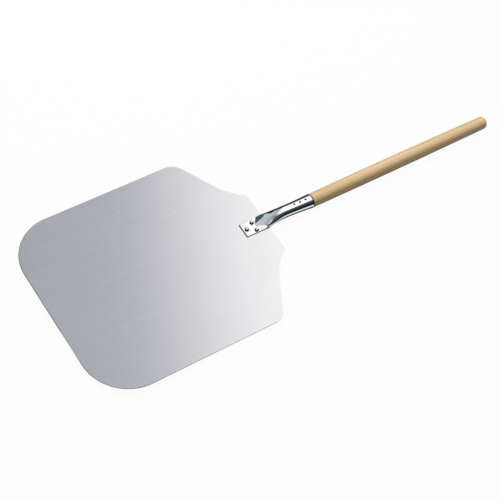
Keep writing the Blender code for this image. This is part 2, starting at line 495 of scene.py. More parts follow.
class Specks(Effect):
    """Small scattered dots: pits in metal, pores and flecks in wood."""

    name = "specks"
    takes = (
        Port("Vector", "NodeSocketVector"),
        Port("Scale", value=200.0),
        Port("Size", value=0.12),
        Port("Share", value=0.2),
    )
    gives = (Port("Mask"),)

    @classmethod
    def write(cls, graph: Graph, given: bpy.types.NodeOutputs) -> dict[str, bpy.types.NodeSocket]:
        """A dot in a chosen share of random cells, each with a soft rim."""
        cells = graph.node("ShaderNodeTexVoronoi", {"Vector": given["Vector"], "Scale": given["Scale"]})
        pick = graph.parts(cells.outputs["Color"])["X"]
        chosen = graph.math("LESS_THAN", pick, given["Share"])
        rim = graph.times(given["Size"], 0.5)
        inner = graph.minus(given["Size"], cells.outputs["Distance"])
        dot = graph.share(graph.math("DIVIDE", inner, rim))
        return {"Mask": graph.times(dot, chosen)}


class Scratches(Effect):
    """Thin, tapering hairline scratches in one main direction."""

    name = "scratches"
    takes = (
        Port("Angle", value=0.6),
        Port("Length", value=9.0),
        Port("Spacing", value=700.0),
        Port("Rarity", value=0.7),
    )
    gives = (Port("Mask"),)

    @classmethod
    def write(cls, graph: Graph, given: bpy.types.NodeOutputs) -> dict[str, bpy.types.NodeSocket]:
        """The crests of a noise stretched along the scratches and slightly bent."""
        sway = 0.02
        steepness = 16.0
        place = graph.place()
        bend = graph.cloud(place, Scale=4.0, Detail=1.0)["Color"]
        bent = graph.vector("ADD", place, graph.vector("MULTIPLY", bend, (sway, sway, sway)))
        turned = graph.node(
            "ShaderNodeVectorRotate", {"Vector": bent, "Angle": given["Angle"]}, rotation_type="Z_AXIS"
        ).outputs[0]
        scale = graph.node(
            "ShaderNodeCombineXYZ", {"X": given["Length"], "Y": given["Spacing"], "Z": given["Spacing"]}
        ).outputs[0]
        stretched = graph.vector("MULTIPLY", turned, scale)
        crest = graph.cloud(stretched, Scale=1.0, Detail=1.0)["Fac"]
        over = graph.minus(crest, given["Rarity"])
        return {"Mask": graph.share(graph.times(over, steepness))}


class Handling(Effect):
    """Broad, soft patches where a surface was touched, wiped or rubbed."""

    name = "handling"
    takes = (
        Port("Scale", value=14.0),
        Port("Low", value=0.2),
        Port("High", value=0.4),
    )
    gives = (Port("Value"), Port("Patch"))

    @classmethod
    def write(cls, graph: Graph, given: bpy.types.NodeOutputs) -> dict[str, bpy.types.NodeSocket]:
        """A detailed noise mapped between the low and the high value."""
        cloud = graph.cloud(graph.place(), Scale=given["Scale"], Detail=5.0, Roughness=0.6)["Fac"]
        patch = graph.spread(cloud, 0.32, 0.68)
        reach = graph.minus(given["High"], given["Low"])
        value = graph.plus(given["Low"], graph.times(patch, reach))
        return {"Value": value, "Patch": patch}


def new_material(name: str) -> tuple[bpy.types.Material, Graph, bpy.types.Node]:
    """An empty material with its Principled shader.

    Args:
        name: Name of the material.

    Returns:
        The material, its tree ready to write in, and the shader node.
    """
    material = bpy.data.materials.new(name)
    material.use_nodes = True
    shader = material.node_tree.nodes["Principled BSDF"]
    return material, Graph(material.node_tree), shader


def bump(
    graph: Graph, height: bpy.types.NodeSocket, strength: float, depth: float
) -> bpy.types.NodeSocket:
    """Normal from a height.

    Args:
        graph: The tree to write in.
        height: Height between 0 and 1.
        strength: Strength of the Bump node.
        depth: Real depth of a full step, in metres.

    Returns:
        The bumped normal.
    """
    inputs = {"Height": height, "Strength": strength, "Distance": depth}
    return graph.node("ShaderNodeBump", inputs).outputs["Normal"]


@dataclass(frozen=True)
class SheetFinish:
    """Rolled aluminium sheet: satin, with rolling lines, fine scratches, small pits and wiped patches."""

    name: str = "rolled_aluminium"
    light: tuple[float, float, float] = (0.785, 0.795, 0.81)
    dull: tuple[float, float, float] = (0.735, 0.745, 0.765)
    bare: tuple[float, float, float] = (0.90, 0.90, 0.90)
    pit: tuple[float, float, float] = (0.16, 0.16, 0.17)
    rough_low: float = 0.235
    rough_high: float = 0.265

    def material(self) -> bpy.types.Material:
        """Writes the sheet's material."""
        material, graph, shader = new_material(self.name)
        lines = RolledLines.place(graph, Along=3.0, Across=1500.0, Detail=3.0)
        wear = Handling.place(graph, Scale=7.0, Low=self.rough_low, High=self.rough_high)
        place = graph.place()
        pits = Specks.place(graph, Vector=place, Scale=38.0, Size=0.035, Share=0.10)["Mask"]
        fine = Scratches.place(graph, Angle=0.9, Length=30.0, Spacing=1100.0, Rarity=0.72)["Mask"]
        cross = Scratches.place(graph, Angle=-0.7, Length=22.0, Spacing=900.0, Rarity=0.735)["Mask"]
        scratch = graph.times(graph.larger(fine, cross), 0.3)
        colour = graph.mix(graph.spread(lines["Lines"], 0.3, 0.7), self.dull, self.light)
        colour = graph.mix(graph.times(wear["Patch"], 0.25), colour, self.dull)
        colour = graph.mix(graph.times(scratch, 0.5), colour, self.bare)
        colour = graph.mix(graph.times(pits, 0.8), colour, self.pit)
        height = graph.plus(graph.times(lines["Lines"], 0.4), graph.times(scratch, -0.5))
        height = graph.minus(height, pits)
        rough = graph.plus(wear["Value"], graph.times(lines["Bands"], 0.02))
        normal = bump(graph, height, 0.12, 0.02 * MM)
        graph.feed(shader, {"Base Color": colour, "Roughness": rough, "Normal": normal, "Metallic": 1.0})
        return material


@dataclass(frozen=True)
class ShearedFinish:
    """Cut and deburred edge of the sheet: brighter, rougher, with marks across its thickness."""

    name: str = "sheared_aluminium_edge"
    colour: tuple[float, float, float] = (0.80, 0.81, 0.82)
    dark: tuple[float, float, float] = (0.52, 0.53, 0.55)

    def material(self) -> bpy.types.Material:
        """Writes the cut edge's material."""
        material, graph, shader = new_material(self.name)
        place = graph.stretched(700.0, 700.0)
        marks = graph.cloud(place, Scale=1.0, Detail=3.0)["Fac"]
        wear = Handling.place(graph, Scale=40.0, Low=0.28, High=0.5)
        colour = graph.mix(graph.spread(marks, 0.35, 0.65), self.dark, self.colour)
        rough, normal = wear["Value"], bump(graph, marks, 0.4, 0.03 * MM)
        graph.feed(shader, {"Base Color": colour, "Roughness": rough, "Normal": normal, "Metallic": 1.0})
        return material


@dataclass(frozen=True)
class ChromeFinish:
    """Bright plating: mirror-like, with drawing marks, a few plating pits and faint finger marks.

    Painted shade, near black, darkens the join where the tang meets the blade, near seam_height and as far
    as seam_length, and the last two millimetres before the mouth. All three are the ferrule's own
    coordinates.
    """

    name: str = "bright_chrome"
    colour: tuple[float, float, float] = (0.86, 0.87, 0.87)
    hazed: tuple[float, float, float] = (0.78, 0.79, 0.80)
    pit: tuple[float, float, float] = (0.20, 0.17, 0.15)
    # near black, the colour of the painted shade at the tang's join and at the mouth
    near_black: tuple[float, float, float] = (0.02, 0.02, 0.02)
    seam_length: float = 0.050
    seam_height: float = 0.0134
    mouth: float = 0.1418

    def material(self) -> bpy.types.Material:
        """Writes the plated tube's material."""
        material, graph, shader = new_material(self.name)
        lines = RolledLines.place(graph, Along=12.0, Across=700.0, Detail=2.0)
        wear = Handling.place(graph, Scale=45.0, Low=0.045, High=0.12)
        place = graph.place()
        pits = Specks.place(graph, Vector=place, Scale=330.0, Size=0.10, Share=0.05)["Mask"]
        hair = Scratches.place(graph, Angle=0.3, Length=40.0, Spacing=1500.0, Rarity=0.7)["Mask"]
        colour = graph.mix(graph.times(wear["Patch"], 0.6), self.colour, self.hazed)
        colour = graph.mix(graph.times(pits, 0.7), colour, self.pit)
        parts = graph.parts(place)
        # Painted shade: a near-black line along the foot of the tang where it meets the blade, and a
        # near-black band on the last two millimetres before the mouth, where the wood goes in.
        low = graph.spread(parts["Z"], self.seam_height + 0.5 * MM, self.seam_height + 0.2 * MM)
        seam_shade = graph.times(low, graph.math("LESS_THAN", parts["X"], self.seam_length))
        mouth_shade = graph.spread(parts["X"], self.mouth - 2.5 * MM, self.mouth - 1.9 * MM)
        colour = graph.mix(graph.larger(seam_shade, mouth_shade), colour, self.near_black)
        height = graph.minus(graph.times(lines["Lines"], 0.4), pits)
        height = graph.minus(height, graph.times(hair, 0.3))
        rough = graph.plus(wear["Value"], graph.times(hair, 0.1))
        normal = bump(graph, height, 0.12, 0.02 * MM)
        graph.feed(shader, {"Base Color": colour, "Roughness": rough, "Normal": normal, "Metallic": 1.0})
        return material


@dataclass(frozen=True)
class FastenerFinish:
    """Steel rivets and nails: smoother on top, rougher at the rim, and darkened by painted shade at the
    rim and on one side.
    """

    name: str = "worn_steel"
    colour: tuple[float, float, float] = (0.80, 0.80, 0.79)
    # near black: the colour of the pits and of the painted shade at the rim and on one side
    near_black: tuple[float, float, float] = (0.02, 0.02, 0.02)
    # direction of the side of each head that gets painted shade
    shaded_side: tuple[float, float, float] = (0.35, -0.94, 0.0)
    rough_low: float = 0.08
    rough_high: float = 0.2

    def material(self) -> bpy.types.Material:
        """Writes the fasteners' material."""
        material, graph, shader = new_material(self.name)
        place = graph.place()
        cells = {"Vector": place, "Scale": 900.0}
        dents = graph.node("ShaderNodeTexVoronoi", cells, feature="SMOOTH_F1")
        wear = Handling.place(graph, Scale=180.0, Low=self.rough_low, High=self.rough_high)
        pits = Specks.place(graph, Vector=place, Scale=1100.0, Size=0.16, Share=0.12)["Mask"]
        # Painted shade: the head goes near black where it slopes away from its top and on its side facing
        # the direction above; the same mask also makes it rougher there.
        facing = graph.node("ShaderNodeTexCoord").outputs["Normal"]
        level = graph.parts(facing)["Z"]
        ragged = graph.plus(level, graph.times(wear["Patch"], 0.06))
        rim = graph.spread(ragged, 0.97, 0.90)
        side_shade = graph.spread(graph.dot(facing, self.shaded_side), 0.08, 0.22)
        rim = graph.larger(rim, side_shade)
        colour = graph.mix(graph.times(pits, 0.6), self.colour, self.near_black)
        colour = graph.mix(rim, colour, self.near_black)
        rough = graph.plus(wear["Value"], graph.times(rim, 0.2))
        normal = bump(graph, dents.outputs["Distance"], 0.2, 0.05 * MM)
        graph.feed(shader, {"Base Color": colour, "Roughness": rough, "Normal": normal, "Metallic": 1.0})
        return material


@dataclass(frozen=True)
class WoodFinish:
    """Light beech, turned and lacquered: long grain, growth bands, brown flecks and a satin coat."""

    name: str = "lacquered_beech"
    pale: tuple[float, float, float] = (0.84, 0.64, 0.40)
    warm: tuple[float, float, float] = (0.70, 0.48, 0.265)
    late: tuple[float, float, float] = (0.60, 0.385, 0.20)
    fleck: tuple[float, float, float] = (0.36, 0.20, 0.09)
    coat: float = 0.25
    coat_rough: float = 0.28

    def material(self) -> bpy.types.Material:
        """Writes the handle's material."""
        material, graph, shader = new_material(self.name)
        fibres = RolledLines.place(graph, Along=9.0, Across=1100.0, Detail=4.0)
        growth = self.growth_bands(graph)
        place = graph.stretched(150.0, 1150.0)
        flecks = Specks.place(graph, Vector=place, Scale=1.0, Size=0.26, Share=0.22)["Mask"]
        fine_place = graph.stretched(420.0, 3000.0)
        pores = Specks.place(graph, Vector=fine_place, Scale=1.0, Size=0.3, Share=0.4)["Mask"]
        wear = Handling.place(graph, Scale=26.0, Low=0.30, High=0.44)
        colour = graph.mix(growth, self.pale, self.warm)
        colour = graph.mix(graph.spread(fibres["Lines"], 0.40, 0.72, 0.0, 0.45), colour, self.late)
        colour = graph.mix(graph.spread(fibres["Bands"], 0.35, 0.7, 0.0, 0.35), colour, self.warm)
        colour = graph.mix(graph.times(flecks, 0.40), colour, self.fleck)
        colour = graph.mix(graph.times(pores, 0.16), colour, self.fleck)
        height = graph.minus(graph.times(fibres["Lines"], 0.6), graph.times(flecks, 0.5))
        normal = bump(graph, height, 0.3, 0.08 * MM)
        graph.feed(shader, {"Base Color": colour, "Roughness": wear["Value"], "Normal": normal})
        graph.feed(shader, {"Coat Weight": self.coat, "Coat Roughness": self.coat_rough})
        return material

    def growth_bands(self, graph: Graph) -> bpy.types.NodeSocket:
        """Growth rings of a trunk whose heart lies well outside the rod, bent by a slow noise."""
        heart = (0.0, 0.035, 0.06)
        place = graph.place()
        drift = graph.cloud(graph.vector("MULTIPLY", place, (3.0, 30.0, 30.0)), Scale=1.0)["Fac"]
        parts = graph.parts(graph.vector("ADD", place, heart))
        squares = graph.plus(graph.math("POWER", parts["Y"], 2.0), graph.math("POWER", parts["Z"], 2.0))
        lean = graph.times(parts["X"], 0.012)
        radius = graph.plus(graph.math("SQRT", squares), lean)
        radius = graph.plus(radius, graph.times(drift, 0.006))
        wave = graph.math("SINE", graph.times(radius, 2200.0))
        return graph.spread(wave, -0.6, 1.0, 0.15, 0.75)


# ---------------------------------------------------------------- the peel's pieces


def show(piece: bpy.types.Object, node: str, slot: str, *finishes: bpy.types.Material) -> None:
    """Dresses a piece and puts it in its node's place on the peel.

    Args:
        piece: The finished piece.
        node: The CAD node that it stands for.
        slot: The record's material slot; not used.
        *finishes: Its materials, in the order of its faces' material numbers.
    """
    piece.data.materials.clear()
    for finish in finishes:
        piece.data.materials.append(finish)
    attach(piece, BODY)
    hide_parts(node)
    LOG.info("%s: %d faces", piece.name, len(piece.data.polygons))


@dataclass
class Rivet:
    """One round-head rivet: where it stands and how it is shaped."""

    node: str
    seat: Vector
    head_radius: float
    head_height: float
    head_base: float
    shank_radius: float = 2.0 * MM
    tail_radius: float = 3.4 * MM
    tail_depth: float = 1.1 * MM
    rim: float = 0.25 * MM
    steps: int = 64

    @classmethod
    def from_node(cls, node: str, head_height: float) -> "Rivet":
        """Reads a rivet's place and head from its CAD node.

        Args:
            node: The node's name.
            head_height: Height of its head above the tang.

        Returns:
            The rivet, standing with its tail level with the blade's underside.
        """
        low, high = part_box(node)
        seat = Vector(((low.x + high.x) / 2, (low.y + high.y) / 2, low.z))
        return cls(node, seat, (high.y - low.y) / 2, head_height, high.z - low.z - head_height)

    def profile(self) -> list[tuple[float, float]]:
        """Half section from the tail's middle to the head's top."""
        base = self.head_base
        points = [
            (0.0, 0.12 * MM),
            (self.tail_radius * 0.55, 0.10 * MM),
            (self.tail_radius * 0.8, 0.02 * MM),
            (self.tail_radius, 0.0),
            (self.shank_radius, self.tail_depth),
            (self.shank_radius, base),
            (self.head_radius - self.rim, base),
            (self.head_radius, base + self.rim),
        ]
        return points + dome(self.head_radius, self.head_height - self.rim, base + self.rim, 12)

    def build(self) -> bpy.types.Object:
        """Makes the rivet."""
        builder = turn(self.profile(), self.steps)
        return make_piece(self.node + "_steel", builder, Edge.CUT, self.seat)

    def hole(self, name: str, play: float) -> bpy.types.Object:
        """Cutter for the hole that the rivet fills.

        Args:
            name: Name of the cutter.
            play: Gap round the rivet.

        Returns:
            The cutter, placed on the rivet's axis.
        """
        slope = (self.tail_radius - self.shank_radius) / self.tail_depth
        below = 1.0 * MM
        profile = [
            (0.0, -below),
            (self.tail_radius + play + slope * below, -below),
            (self.shank_radius + play, self.tail_depth),
            (self.shank_radius + play, self.head_base + below),
            (0.0, self.head_base + below),
        ]
        return make_piece(name, turn(profile, self.steps), Edge.CUT, self.seat)


@dataclass
class Blade:
    """The sheet that carries the pizza: rounded corners, sloping shoulders, hollow curves and a neck."""

    node: str = "blade"
    front_radius: float = 83.0 * MM
    shoulder_start: float = 337.2 * MM
    shoulder_angle: float = math.radians(60.9)
    shoulder_radius: float = 30.0 * MM
    neck_half_width: float = 62.9 * MM
    hollow_radius: float = 110.0 * MM
    edge_round: float = 0.35 * MM
    flat_margin: float = 0.8 * MM
    hole_play: float = 0.03 * MM
    front_steps: int = 48
    shoulder_steps: int = 20
    hollow_steps: int = 24

    def half_outline(self, length: float, side: float) -> list[Vector]:
        """Outline of the +Y half, from the front edge to the neck's corner.

        Args:
            length: Length of the blade.
            side: Half of its width.

        Returns:
            Points measured from the middle of the front edge.
        """
        quarter = math.pi / 2
        front_flat = [Vector((0.0, y)) for y in evenly(0.0, side - self.front_radius, 6)[:-1]]
        front_centre = Vector((self.front_radius, side - self.front_radius))
        front = arc(front_centre, self.front_radius, math.pi, quarter, self.front_steps)
        tangent = self.shoulder_radius * math.tan(self.shoulder_angle / 2)
        shoulder_centre = Vector((self.shoulder_start - tangent, side - self.shoulder_radius))
        shoulder_end = quarter - self.shoulder_angle
        shoulder = arc(shoulder_centre, self.shoulder_radius, quarter, shoulder_end, self.shoulder_steps)
        along = Vector((math.cos(self.shoulder_angle), -math.sin(self.shoulder_angle)))
        outward = Vector((math.sin(self.shoulder_angle), math.cos(self.shoulder_angle)))
        corner = Vector((length, self.neck_half_width))
        apex = Vector((self.shoulder_start, side))
        reach = corner - apex - outward * self.hollow_radius
        distance = reach.dot(along) - math.sqrt(self.hollow_radius ** 2 - reach.dot(outward) ** 2)
        centre = apex + along * distance + outward * self.hollow_radius
        start = apex + along * distance - centre
        angle = math.atan2(start.y, start.x)
        neck_angle = angle - start.angle_signed(corner - centre)
        hollow = arc(centre, self.hollow_radius, angle, neck_angle, self.hollow_steps)
        return front_flat + front + shoulder + hollow

    def rings(self, outline: list[Vector], thickness: float) -> list[list[Vector]]:
        """Rings from the underside over the edge to the top.

        Args:
            outline: Closed outline of the blade, its +Y half first.
            thickness: Thickness of the sheet.

        Returns:
            Rings that round both rims, with a flat margin inside each.
        """
        r, t, flat = self.edge_round, thickness, self.flat_margin
        edge = [(r + flat, 0.0), (r, 0.0), (0.3 * r, 0.3 * r), (0.0, r)]
        edge += [(inset, t - height) for inset, height in reversed(edge)]
        rings = [[] for _ in edge]
        for i, point in enumerate(outline):
            before = (point - outline[i - 1]).normalized()
            after = (outline[(i + 1) % len(outline)] - point).normalized()
            run = (before + after).normalized()
            outward = Vector((-run.y, run.x))
            for ring, (inset, height) in zip(rings, edge):
                ring.append((point - outward * inset).to_3d() + Vector((0.0, 0.0, height)))
        return rings

    def build(self, rivets: Sequence[Rivet]) -> bpy.types.Object:
        """Makes the sheet with its rivet holes.

        Args:
            rivets: The rivets that pass through it.

        Returns:
            The blade.
        """
        low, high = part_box(self.node)
        half = self.half_outline(high.x - low.x, (high.y - low.y) / 2)
        outline = half + [Vector((p.x, -p.y)) for p in reversed(half) if p.y > 0]
        builder = loft(self.rings(outline, high.z - low.z))
        blade = make_piece("blade_sheet", builder, Edge.CUT, Vector((low.x, 0.0, low.z)))
        cut_away(blade, [rivet.hole(f"hole_{rivet.node}", self.hole_play) for rivet in rivets])
        for face in blade.data.polygons:
            face.material_index = 0 if abs(face.normal.z) > 0.999 or len(face.vertices) > 8 else 1
        return blade


@dataclass
class Ferrule:
    """Steel tube pressed flat into a tang at its front, with a pressed ramp and a flared mouth.

    A place along it is a distance from the tang's front. Each flank of the ramp is given by its start, how
    fast it spreads sideways from there and how steeply it rises towards the middle.
    """

    node: str = "ferrule"
    tang_half_width: float = 14.0 * MM
    tang_offset: float = 1.1 * MM
    narrowing_start: float = 39.3 * MM
    tang_thickness: float = 2.1 * MM
    nose_start: float = 25.3 * MM
    near_flank: tuple[float, float, float] = (23.5 * MM, 1.0, 0.6)
    far_flank: tuple[float, float, float] = (23.0 * MM, 1.25, 0.24)
    brow: float = 0.55
    neck: float = 47.3 * MM
    waist: float = 84.3 * MM
    waist_radius: float = 11.05 * MM
    waist_drop: float = 1.8 * MM
    wall: float = 1.0 * MM
    socket_end: float = 77.3 * MM
    plate_exponent: float = 8.0
    crease_round: float = 0.35 * MM
    fillet: float = 0.25 * MM
    least_lift: float = 0.02 * MM
    rounding_start: float = 23.3 * MM
    rounding_end: float = 59.3 * MM
    rounding_power: float = 0.5
    slit_depth: float = 3.0 * MM
    slit_margin: float = 1.6 * MM
    slit_height: float = 0.09 * MM
    socket_tip_length: float = 8.0 * MM
    socket_tip_radius: float = 7.0 * MM
    hole_play: float = 0.05 * MM
    lip_length: float = 2.0 * MM
    lip_drop: float = 0.75 * MM
    drain_place: float = 47.3 * MM
    drain_radius: float = 0.75 * MM
    drain_floor: float = 0.8 * MM
    points: int = 144

    def read(self) -> None:
        """Takes the place, the length and the mouth's radius from the CAD node, and the blade's top."""
        self.low, self.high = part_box(self.node)
        self.length = self.high.x - self.low.x
        self.mouth_radius = (self.high.z - self.low.z) / 2
        self.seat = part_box("blade")[1].z
        self.mouth_height = self.low.z + self.mouth_radius

    def flare(self, x: float) -> float:
        """Share of the round part that lies before a place."""
        return min(max((x - self.waist) / (self.length - self.waist), 0.0), 1.0)

    def radius(self, x: float) -> float:
        """Outer radius of the round part at a place."""
        return self.waist_radius + (self.mouth_radius - self.waist_radius) * self.flare(x) ** 2

    def height(self, x: float) -> float:
        """Height of the round part's axis at a place."""
        return self.mouth_height + self.waist_drop * (1.0 - self.flare(x))

    def side(self, x: float) -> float:
        """How far the axis stands to +Y: the tang is riveted on a little off the middle."""
        return self.tang_offset * (1.0 - self.flare(x))

    def ring(self, x: float, inset: float = 0.0) -> list[Vector]:
        """Points round the outside at a place: a flat plate's section that eases into a circle.

        Args:
            x: The place.
            inset: How far the ring is drawn in, for rounded ends.

        Returns:
            The ring's points, from the top round over +Y.
        """
        tang_top = self.seat + self.tang_thickness
        top, bottom = self.top(x), self.bottom(x)
        narrowing = blend_step(self.narrowing_start, self.waist, x)
        half_width = self.tang_half_width + (self.radius(x) - self.tang_half_width) * narrowing - inset
        rounded = blend_step(self.rounding_start, self.rounding_end, x) ** self.rounding_power
        exponent = self.plate_exponent + (2.0 - self.plate_exponent) * rounded
        middle = self.seat + self.tang_thickness / 2
        middle += (self.height(x) - middle) * blend_step(self.nose_start, self.waist, x)
        lift = max(top - tang_top, self.least_lift)
        crease, fillet = min(self.crease_round, lift), min(self.fillet, lift)
        ring = []
        for i in range(self.points):
            angle = math.tau * i / self.points
            across, upward = math.sin(angle), math.cos(angle)
            bulge = max(1.0 - abs(across) ** exponent, 0.0) ** (1.0 / exponent)
            y = half_width * across
            reach = top - middle - inset if upward > 0 else middle - bottom - inset
            z = middle + math.copysign(reach * bulge, upward)
            if x < self.waist and upward > 0:
                start, spread, rise = self.far_flank if y > 0 else self.near_flank
                flank = tang_top + soft_max(rise * (spread * (x - start) - abs(y)), 0.0, fillet)
                z = soft_min(z, flank, crease)
            ring.append(Vector((x, y + self.side(x), z)))
        return ring

    def top(self, x: float) -> float:
        """Height of the top line: flat tang, straight ramp, rounded brow, round tube."""
        tang_top = self.seat + self.tang_thickness
        rise = self.height(x) + self.radius(x) - tang_top
        share = min(max((x - self.nose_start) / (self.waist - self.nose_start), 0.0), 1.0)
        slope = 2.0 / (1.0 + self.brow)
        eased = max(share - self.brow, 0.0)
        return tang_top + rise * (slope * share - slope * eased ** 2 / (2.0 * (1.0 - self.brow)))

    def bottom(self, x: float) -> float:
        """Height of the bottom line: flat as far as the blade's neck, then sinking to the round tube."""
        fall = self.height(x) - self.radius(x) - self.seat
        return self.seat + fall * blend_step(self.neck, self.waist, x)

    def circle(self, x: float, radius: float) -> list[Vector]:
        """Round ring on the tube's axis."""
        return self.oval(x, self.side(x), self.height(x), radius, radius)

    def oval(self, x: float, side: float, height: float, width: float, rise: float) -> list[Vector]:
        """Ring in the YZ plane.

        Args:
            x: Place of the ring.
            side: Y of its middle.
            height: Z of its middle.
            width: Half of its width.
            rise: Half of its height.

        Returns:
            The ring's points, from the top round over +Y.
        """
        angles = evenly(0.0, math.tau, self.points)[:-1]
        return [Vector((x, side + width * math.sin(a), height + rise * math.cos(a))) for a in angles]

    def slit(self, x: float) -> list[Vector]:
        """Thin line between the two pressed walls, seen in the tang's front edge."""
        height = self.seat + self.tang_thickness / 2
        reach = self.tang_half_width - self.slit_margin
        return self.oval(x, self.tang_offset, height, reach, self.slit_height)

    def drain(self) -> bpy.types.Object:
        """Cutter for the small drain hole in the pressed ramp."""
        reach = 12 * MM
        profile = [(0.0, 0.0), (self.drain_radius, 0.0), (self.drain_radius, reach), (0.0, reach)]
        floor = self.seat + self.tang_thickness + self.drain_floor
        place = Vector((self.low.x + self.drain_place, self.tang_offset, floor))
        return make_piece("drain_hole", turn(profile, 24), Edge.CUT, place)

    def build(self, rivets: Sequence[Rivet]) -> bpy.types.Object:
        """Makes the ferrule with its socket and rivet holes.

        Args:
            rivets: The rivets that pass through the tang.

        Returns:
            The ferrule.
        """
        self.read()
        rings = [self.slit(self.slit_depth), self.slit(0.0)]
        rings += [self.ring(0.0, 0.35 * MM), self.ring(0.12 * MM, 0.1 * MM)]
        front = [0.35 * MM, 0.9 * MM] + evenly(3 * MM, self.nose_start - 2 * MM, 8)
        pressed = evenly(self.nose_start - 1 * MM, self.waist + 1 * MM, 150)[:-1]
        tube = evenly(self.waist + 1.5 * MM, self.length - self.lip_length - 0.8 * MM, 40)
        rings += [self.ring(x) for x in front + pressed + tube]
        end = self.length
        outer = self.radius(end - self.lip_length)
        for angle in evenly(0.0, math.pi / 2, 8):
            x = end - self.lip_length * (1.0 - math.sin(angle))
            rings.append(self.circle(x, outer - self.lip_drop * (1.0 - math.cos(angle))))
        rings += [self.circle(x, self.radius(x) - self.wall) for x in evenly(end, self.socket_end, 12)]
        rings.append(self.circle(self.socket_end - self.socket_tip_length, self.socket_tip_radius))
        builder = loft(rings)
        ferrule = make_piece("ferrule_tube", builder, Edge.PRESSED, Vector((self.low.x, 0.0, 0.0)))
        holes = [rivet.hole(f"tang_hole_{rivet.node}", self.hole_play) for rivet in rivets]
        cut_away(ferrule, holes + [self.drain()])
        return ferrule


@dataclass
class Handle:
    """Turned wooden rod: a shaved tenon in the ferrule, a long round grip and a domed end."""

    node: str = "handle"
    shoulder_radius: float = 12.7 * MM
    end_radius: float = 11.8 * MM
    belly: float = 0.8 * MM
    dome: float = 8.0 * MM
    clearance: float = 0.3 * MM
    shoulder_round: float = 0.35 * MM
    tenon_chamfer: float = 1.5 * MM
    tip_radius: float = 0.4 * MM
    dome_power: float = 0.9
    wander: float = 0.07 * MM
    wander_along: float = 22.0
    wander_round: float = 1.3
    points: int = 112

    def build(self, ferrule: Ferrule) -> bpy.types.Object:
        """Makes the handle.

        Args:
            ferrule: The ferrule that holds its tenon.

        Returns:
            The handle.
        """
        low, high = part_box(self.node)
        mouth = ferrule.high.x
        rings = [self.ring(low.x, self.tenon(low.x, ferrule) - self.tenon_chamfer, ferrule)]
        for x in evenly(low.x + self.tenon_chamfer, mouth, 12):
            rings.append(self.ring(x, self.tenon(x, ferrule), ferrule))
        length = high.x - mouth
        shoulder = mouth + self.clearance
        r = self.shoulder_round
        rings.append(self.ring(shoulder, self.shoulder_radius - r, ferrule))
        rings.append(self.ring(shoulder + 0.3 * r, self.shoulder_radius - 0.3 * r, ferrule))
        for x in evenly(shoulder + r, high.x - self.dome, 120):
            share = (x - mouth) / length
            radius = self.shoulder_radius + (self.end_radius - self.shoulder_radius) * share
            radius += self.belly * 4 * share * (1 - share)
            rings.append(self.ring(x, radius, ferrule, self.wander))
        for angle in evenly(0.0, math.pi / 2, 16)[1:-1]:
            x = high.x - self.dome + self.dome * math.sin(angle)
            narrowed = radius * math.cos(angle) ** self.dome_power
            rings.append(self.ring(x, narrowed, ferrule, self.wander * math.cos(angle)))
        rings.append(self.ring(high.x, self.tip_radius, ferrule))
        return make_piece("handle_rod", loft(rings), Edge.PRESSED)

    def tenon(self, x: float, ferrule: Ferrule) -> float:
        """Radius of the tenon, just inside the socket's wall."""
        return ferrule.radius(x - ferrule.low.x) - ferrule.wall - self.clearance

    def ring(self, x: float, radius: float, ferrule: Ferrule, wander: float = 0.0) -> list[Vector]:
        """Points round the rod.

        Args:
            x: Place along the peel.
            radius: Radius there.
            ferrule: The ferrule, whose axis the rod follows.
            wander: How far hand sanding moves the surface in.

        Returns:
            The ring's points.
        """
        height, side = ferrule.height(x - ferrule.low.x), ferrule.side(x - ferrule.low.x)
        ring = []
        for i in range(self.points):
            angle = math.tau * i / self.points
            way = Vector((math.sin(angle), math.cos(angle)))
            spot = Vector((x * self.wander_along, *(way * self.wander_round)))
            reach = radius - abs(noise.noise(spot)) * wander
            ring.append(Vector((x, side + reach * way.x, height + reach * way.y)))
        return ring


@dataclass
class Nail:
    """Small round-head nail through the ferrule's top into the wood."""

    node: str
    head_height: float = 0.9 * MM
    shank_radius: float = 0.8 * MM
    point: float = 1.6 * MM
    steps: int = 40

    def build(self) -> bpy.types.Object:
        """Makes the nail from its CAD node's box."""
        low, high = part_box(self.node)
        length = high.z - low.z
        head = (high.y - low.y) / 2
        base = length - self.head_height
        profile = [
            (0.0, 0.0),
            (self.shank_radius * 0.25, 0.2 * MM),
            (self.shank_radius, self.point),
            (self.shank_radius, base - 0.2 * MM),
            (head - 0.1 * MM, base - 0.25 * MM),
            (head, base),
        ]
        profile += dome(head, self.head_height, base, 9)
        place = Vector(((low.x + high.x) / 2, (low.y + high.y) / 2, low.z))
        return make_piece(self.node + "_steel", turn(profile, self.steps), Edge.CUT, place)


# ---------------------------------------------------------------- the studio


